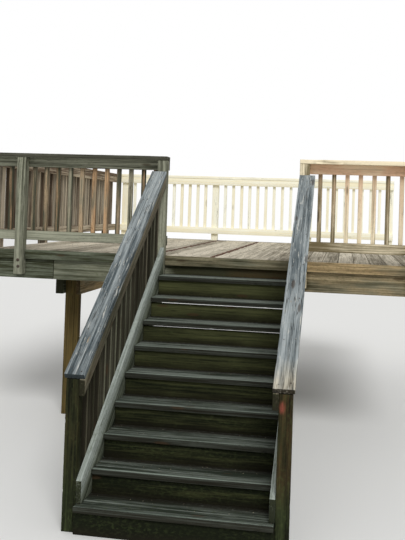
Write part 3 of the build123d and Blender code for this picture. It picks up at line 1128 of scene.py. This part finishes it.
class DECKSTAIRS_OT_nails(bpy.types.Operator):
    """Nail heads in the deck boards, treads, risers, rims and caps"""
    bl_idname = "deckstairs.nails"
    bl_label = "Nails"

    def execute(self, context):
        sizes = context.scene.deck_stairs_fasteners
        dice = random.Random("nails")
        flat, front, square = facing(UP), facing((0, -1, 0)), facing(SQUARE)

        tread_inset, riser_inset, rim_inset, cap_inset = 0.02, 0.018, 0.05, 0.06
        cap_pitch, stair_cap_pitch, stair_cap_pairs = 0.45, 0.42, 7

        def near(value, play):
            return value + dice.uniform(-1, 1) * play

        def between(low, high, part):
            return low + part * (high - low)

        def spaced(low, high, inset, pitch, fewest=0):
            """Even places along a board, at about this pitch; a short board may have none."""
            count = max(fewest, round((high - low) / pitch))
            reach = high - low - 2 * inset
            return [low + inset + reach * i / (count - 1) for i in range(count) if count > 1]

        deck, tread, edge, cap = [], [], [], []
        lines = [(low.y + high.y) / 2 for low, high in solids("joists")]
        for low, high in solids("deck_boards"):
            for y in lines:
                for x in (low.x + sizes.nail_inset, high.x - sizes.nail_inset):
                    deck.append((Vector((near(x, 0.006), near(y, 0.006), high.z)), flat))
        for number in TREADS:
            low, high = span(f"tread_{number}")
            for x in (low.x + tread_inset, high.x - tread_inset):
                for part in (0.22, 0.5, 0.74):
                    tread.append((Vector((x, near(between(low.y, high.y, part), 0.006), high.z)), flat))
        for node in ("risers", "bottom_step_front"):
            for low, high in solids(node):
                for x in (low.x + riser_inset, high.x - riser_inset):
                    for part in (0.25, 0.72):
                        edge.append((Vector((x, low.y, near(between(low.z, high.z, part), 0.005))), front))
        for node in ("edge_strip_front", "rim_front"):
            for low, high in solids(node):
                for x in spaced(low.x, high.x, rim_inset, sizes.nail_pitch):
                    for part in (0.22, 0.78):
                        edge.append((Vector((near(x, 0.012), low.y, between(low.z, high.z, part))), front))
        for word, node, low, high in each("stair_cap", SIDES):
            head = heights_at(node, low.y)[1]
            for x in (low.x + 0.034, high.x - 0.03):
                for i in range(stair_cap_pairs):
                    along = near(0.05 + i * stair_cap_pitch, 0.02)
                    cap.append((Vector((x, low.y, head)) + RAKE * along, square))
        for word, node, low, high in each("guard_cap", GUARDS):
            way, other = (1, 0) if word == "side" else (0, 1)
            for along in spaced(low[way], high[way], cap_inset, cap_pitch, 2):
                for part in (0.3, 0.68):
                    place = Vector((0, 0, high.z))
                    place[way], place[other] = along, between(low[other], high[other], part)
                    cap.append((place, flat))
        finish = dull_metal("nail_metal", context.scene.deck_stairs_finishes.zinc)
        for name, places, slot in (("deck_nails", deck, "deck_wood"), ("tread_nails", tread, "step_wood"),
                                   ("edge_nails", edge, "frame_wood"), ("cap_nails", cap, "stair_cap_wood")):
            scatter(nail(sizes), sunk(places, sizes.nail_sink), name, finish)
        return {"FINISHED"}


class DECKSTAIRS_OT_bolts(bpy.types.Operator):
    """Round-headed bolts that hold the guard posts to the deck"""
    bl_idname = "deckstairs.bolts"
    bl_label = "Bolts"

    def execute(self, context):
        sizes = context.scene.deck_stairs_fasteners
        normals = ((0, -1, 0), (0, -1, 0), (-1, 0, 0), (0, 1, 0))
        places = []
        for word, normal in zip(GUARDS, normals):
            for low, high in solids(f"guard_posts_{word}"):
                for drop, aside in ((sizes.upper_bolt, -0.003), (sizes.lower_bolt, 0.002)):
                    place = (low + high) / 2
                    place.z = DECK_TOP - drop
                    if normal[0]:
                        place.x = low.x
                        place.y += aside
                    else:
                        place.y = low.y if normal[1] < 0 else high.y
                        place.x += aside
                    places.append((place, facing(normal)))
        finish = dull_metal("bolt_metal", context.scene.deck_stairs_finishes.zinc)
        scatter(bolt(sizes), sunk(places, sizes.bolt_sink), "post_bolts", finish)
        return {"FINISHED"}


class DECKSTAIRS_OT_litter(bpy.types.Operator):
    """Dirt packed into two gaps of the deck, and grit on the treads"""
    bl_idname = "deckstairs.litter"
    bl_label = "Litter and grit"

    def execute(self, context):
        hues = context.scene.deck_stairs_finishes
        dice = random.Random("litter")

        def tumbled(size, least, most):
            spin = Matrix.Rotation(dice.uniform(0, 6.28), 4, "Z")
            return spin @ Matrix.Diagonal((size, size * dice.uniform(least, most), size, 1))

        boards = solids("deck_boards")
        places = []
        for index in (11, 15):
            low, high = boards[index]
            gap = (boards[index - 1][1].x + low.x) / 2
            y = low.y + 0.02
            while y < high.y - 0.05:
                size = dice.uniform(0.5, 1.5)
                place = Vector((gap + dice.gauss(0, 0.010), y, DECK_TOP - 0.0015))
                places.append((place, tumbled(size, 0.8, 2.2)))
                y += dice.uniform(0.004, 0.013)
        finish = packed_dirt("gap_litter", hues.litter)
        scatter(crumb(0.017, 0.008), places, "deck_gap_litter", finish)
        places = []
        for number in TREADS:
            low, high = span(f"tread_{number}")
            for _ in range(22):
                y = high.y - abs(dice.gauss(0, 0.09)) - 0.03
                if y < low.y + 0.02:
                    continue
                size = dice.uniform(0.35, 1.0)
                place = Vector((dice.uniform(low.x + 0.03, high.x - 0.03), y, high.z - 0.0012))
                places.append((place, tumbled(size, 0.5, 1.6)))
        finish = packed_dirt("tread_grit", hues.grit)
        scatter(crumb(0.008, 0.0035), places, "tread_grit", finish)
        return {"FINISHED"}


class DECKSTAIRS_OT_stage(bpy.types.Operator):
    """Floor, soft light and camera"""
    bl_idname = "deckstairs.stage"
    bl_label = "Stage"

    def lay_floor(self, stage):
        deselect()
        bpy.ops.mesh.primitive_plane_add(size=stage.floor_size, location=(FLIGHT_MIDDLE, DECK_FACE, GROUND))
        apply_place()
        floor = bpy.context.object
        floor.name = "floor"
        ground = Recipe("floor_paint")
        ground.fill(ground.shader, {"Base Color": paint(stage.floor_tone), "Roughness": 0.9})
        floor.data.materials.append(ground.material)

    def light_room(self, scene, stage):
        """Even light from all round, white behind everything, and one soft key light."""
        world = bpy.data.worlds.new("soft_room")
        world.use_nodes = True
        scene.world = world
        nodes, links = world.node_tree.nodes, world.node_tree.links
        room, seen = nodes["Background"], nodes.new("ShaderNodeBackground")
        for backdrop, strength in ((room, stage.sky_level), (seen, 1.0)):
            backdrop.inputs["Color"].default_value = (1, 1, 1, 1)
            backdrop.inputs["Strength"].default_value = strength
        path = nodes.new("ShaderNodeLightPath")
        either = nodes.new("ShaderNodeMixShader")
        links.new(path.outputs["Is Camera Ray"], either.inputs["Fac"])
        links.new(room.outputs["Background"], either.inputs[1])
        links.new(seen.outputs["Background"], either.inputs[2])
        links.new(either.outputs["Shader"], nodes["World Output"].inputs["Surface"])
        bpy.ops.object.light_add(type="SUN", location=(FLIGHT_MIDDLE + 3, DECK_FACE - 4, GROUND + 6))
        lamp = bpy.context.object
        lamp.name = "key_light"
        lamp.data.energy = stage.key_level
        lamp.data.angle = stage.key_spread
        lamp.rotation_euler = Vector((0.35, -1.0, 0.95)).to_track_quat("Z", "Y").to_euler()

    def place_camera(self, scene, stage):
        view = bpy.data.cameras.new("photo_view")
        camera = bpy.data.objects.new("photo_view", view)
        scene.collection.objects.link(camera)
        view.sensor_width = 36.0
        view.lens = stage.focal_length
        view.shift_y = stage.shift
        view.clip_end = 300.0
        level = math.radians(90)
        camera.matrix_world = (
            Matrix.Translation((FLIGHT_MIDDLE + stage.eye_right, DECK_FACE - stage.eye_front,
                                DECK_TOP + stage.eye_up))
            @ Matrix.Rotation(stage.yaw, 4, "Z")
            @ Matrix.Rotation(level + stage.pitch, 4, "X")
            @ Matrix.Rotation(-stage.roll, 4, "Z"))
        scene.camera = camera

    def execute(self, context):
        stage = context.scene.deck_stairs_stage
        self.lay_floor(stage)
        self.light_room(context.scene, stage)
        self.place_camera(context.scene, stage)
        context.scene.view_settings.view_transform = "Standard"
        return {"FINISHED"}


class DECKSTAIRS_PT_panel(bpy.types.Panel):
    """Lists the pieces of the deck stairs"""
    bl_idname = "DECKSTAIRS_PT_panel"
    bl_label = "Deck Stairs"
    bl_space_type = "VIEW_3D"
    bl_region_type = "UI"
    bl_category = "Deck Stairs"

    def draw(self, context):
        column = self.layout.column(align=True)
        for step in STEPS:
            column.operator(step.bl_idname)
        for name in GROUPS:
            group = getattr(context.scene, name)
            box = self.layout.box()
            for prop in group.bl_rna.properties:
                if prop.identifier not in ("rna_type", "name"):
                    box.prop(group, prop.identifier)


GROUPS = {
    "deck_stairs_lumber": DeckStairsLumber,
    "deck_stairs_finishes": DeckStairsFinishes,
    "deck_stairs_fasteners": DeckStairsFasteners,
    "deck_stairs_stage": DeckStairsStage,
}

STEPS = (
    DECKSTAIRS_OT_treads,
    DECKSTAIRS_OT_risers,
    DECKSTAIRS_OT_stringers,
    DECKSTAIRS_OT_newels,
    DECKSTAIRS_OT_stair_panels,
    DECKSTAIRS_OT_stair_caps,
    DECKSTAIRS_OT_deck_boards,
    DECKSTAIRS_OT_edges,
    DECKSTAIRS_OT_framing,
    DECKSTAIRS_OT_guard_posts,
    DECKSTAIRS_OT_guard_panels,
    DECKSTAIRS_OT_guard_caps,
    DECKSTAIRS_OT_nails,
    DECKSTAIRS_OT_bolts,
    DECKSTAIRS_OT_litter,
    DECKSTAIRS_OT_stage,
)

CLASSES = (*GROUPS.values(), *STEPS, DECKSTAIRS_PT_panel)


def register():
    for item in CLASSES:
        bpy.utils.register_class(item)
    for name, group in GROUPS.items():
        setattr(bpy.types.Scene, name, bpy.props.PointerProperty(type=group))


def unregister():
    for name in GROUPS:
        delattr(bpy.types.Scene, name)
    for item in reversed(CLASSES):
        bpy.utils.unregister_class(item)


def main():
    register()
    for step in STEPS:
        family, name = step.bl_idname.split(".")
        getattr(getattr(bpy.ops, family), name)()


if __name__ == "__main__":
    main()
